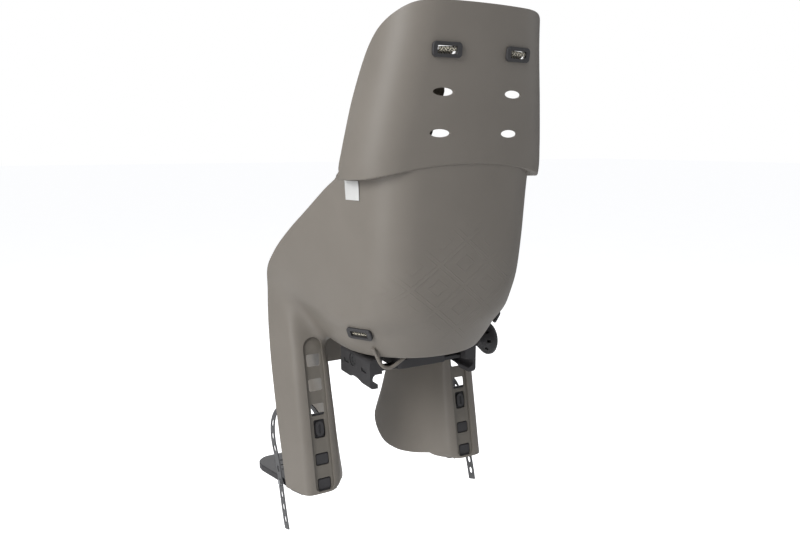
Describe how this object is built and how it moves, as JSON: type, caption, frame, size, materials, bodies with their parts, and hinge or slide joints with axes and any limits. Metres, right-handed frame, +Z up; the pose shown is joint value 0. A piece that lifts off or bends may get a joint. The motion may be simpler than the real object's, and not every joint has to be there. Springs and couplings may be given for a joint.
{
  "type": "child bike seat",
  "caption": "Rear-carrier child seat with a one-piece shell, harness, adjustable footrests with straps, and a knob-driven rail clamp.",
  "frame": {"origin": "midway between the two jaws, in the plane where the cross bars rest on the carrier's side rails", "axes": "X to the right seen from behind, Y towards the front of the bicycle, Z up"},
  "size_m": [0.432, 0.4813, 0.8883],
  "materials": {
    "shell_plastic": "fine moulded grain, warm grey",
    "dark_plastic": "satin dark grey",
    "button_plastic": "satin red",
    "steel": "zinc plated",
    "webbing": "woven polyester, cream and black herringbone",
    "mesh_fabric": "dark spacer mesh",
    "cushion_fabric": "woven cover on foam",
    "strap_rubber": "grey elastomer",
    "label": "blank white woven tape"
  },
  "bodies": {
    "seat": {"adapter_housing": "dark_plastic", "back_cushion": "cushion_fabric", "buckle_body": "dark_plastic", "buckle_tongue_left": "dark_plastic", "buckle_tongue_right": "dark_plastic", "cross_bar_front": "steel", "cross_bar_rear": "steel", "crotch_anchor": "dark_plastic", "crotch_strap": "webbing", "foot_strap_left": "strap_rubber", "foot_strap_right": "strap_rubber", "footrest_left": "dark_plastic", "footrest_right": "dark_plastic", "label_tag": "label", "lap_strap_left": "webbing", "lap_strap_right": "webbing", "lower_anchor_left": "dark_plastic", "lower_anchor_right": "dark_plastic", "mounting_nuts": "steel", "mounting_plate": "steel", "mounting_screws": "steel", "mounting_washers": "steel", "seat_cushion": "cushion_fabric", "seat_shell": "shell_plastic", "shoulder_pad_left": "mesh_fabric", "shoulder_pad_right": "mesh_fabric", "shoulder_strap_left": "webbing", "shoulder_strap_right": "webbing", "strap_adjuster_left": "dark_plastic", "strap_adjuster_right": "dark_plastic", "strap_stud_left": "dark_plastic", "strap_stud_right": "dark_plastic", "upper_anchor_left": "dark_plastic", "upper_anchor_right": "dark_plastic"},
    "knob": {"knob": "dark_plastic", "knob_bolt": "steel", "spindle": "steel", "spindle_clips": "steel"},
    "jaw_right": {"jaw_right": "dark_plastic", "spindle_nut_right": "steel"},
    "jaw_left": {"jaw_left": "dark_plastic", "spindle_nut_left": "steel"},
    "button": {"buckle_button": "button_plastic"},
    "latch_right": {"footrest_latch_right": "dark_plastic"},
    "latch_left": {"footrest_latch_left": "dark_plastic"}
  },
  "joints": [
    {"name": "knob_turn", "type": "hinge", "parent": "seat", "child": "knob", "pos_m": [0, 0.009, 0.011], "axis": [1, 0, 0], "range_deg": [0, 2520]},
    {"name": "jaw_right_slide", "type": "slide", "parent": "seat", "child": "jaw_right", "axis": [-1, 0, 0], "range_m": [0, 0.0281]},
    {"name": "jaw_left_slide", "type": "slide", "parent": "seat", "child": "jaw_left", "axis": [1, 0, 0], "range_m": [0, 0.0281]},
    {"name": "buckle_press", "type": "slide", "parent": "seat", "child": "button", "axis": [0, -0.8351, -0.5501], "range_m": [0, 0.003], "stiffness_N_per_m": 900, "springref_m": -0.004},
    {"name": "latch_press_right", "type": "slide", "parent": "seat", "child": "latch_right", "axis": [0, 0.9813, -0.1923], "range_m": [0, 0.004], "stiffness_N_per_m": 900, "springref_m": -0.004},
    {"name": "latch_press_left", "type": "slide", "parent": "seat", "child": "latch_left", "axis": [0, 0.9813, -0.1923], "range_m": [0, 0.004], "stiffness_N_per_m": 900, "springref_m": -0.004}
  ],
  "couplings": [
    {"joint": "jaw_right_slide", "follows": "knob_turn", "m_per_rad": 0.00063662},
    {"joint": "jaw_left_slide", "follows": "knob_turn", "m_per_rad": 0.00063662}
  ]
}
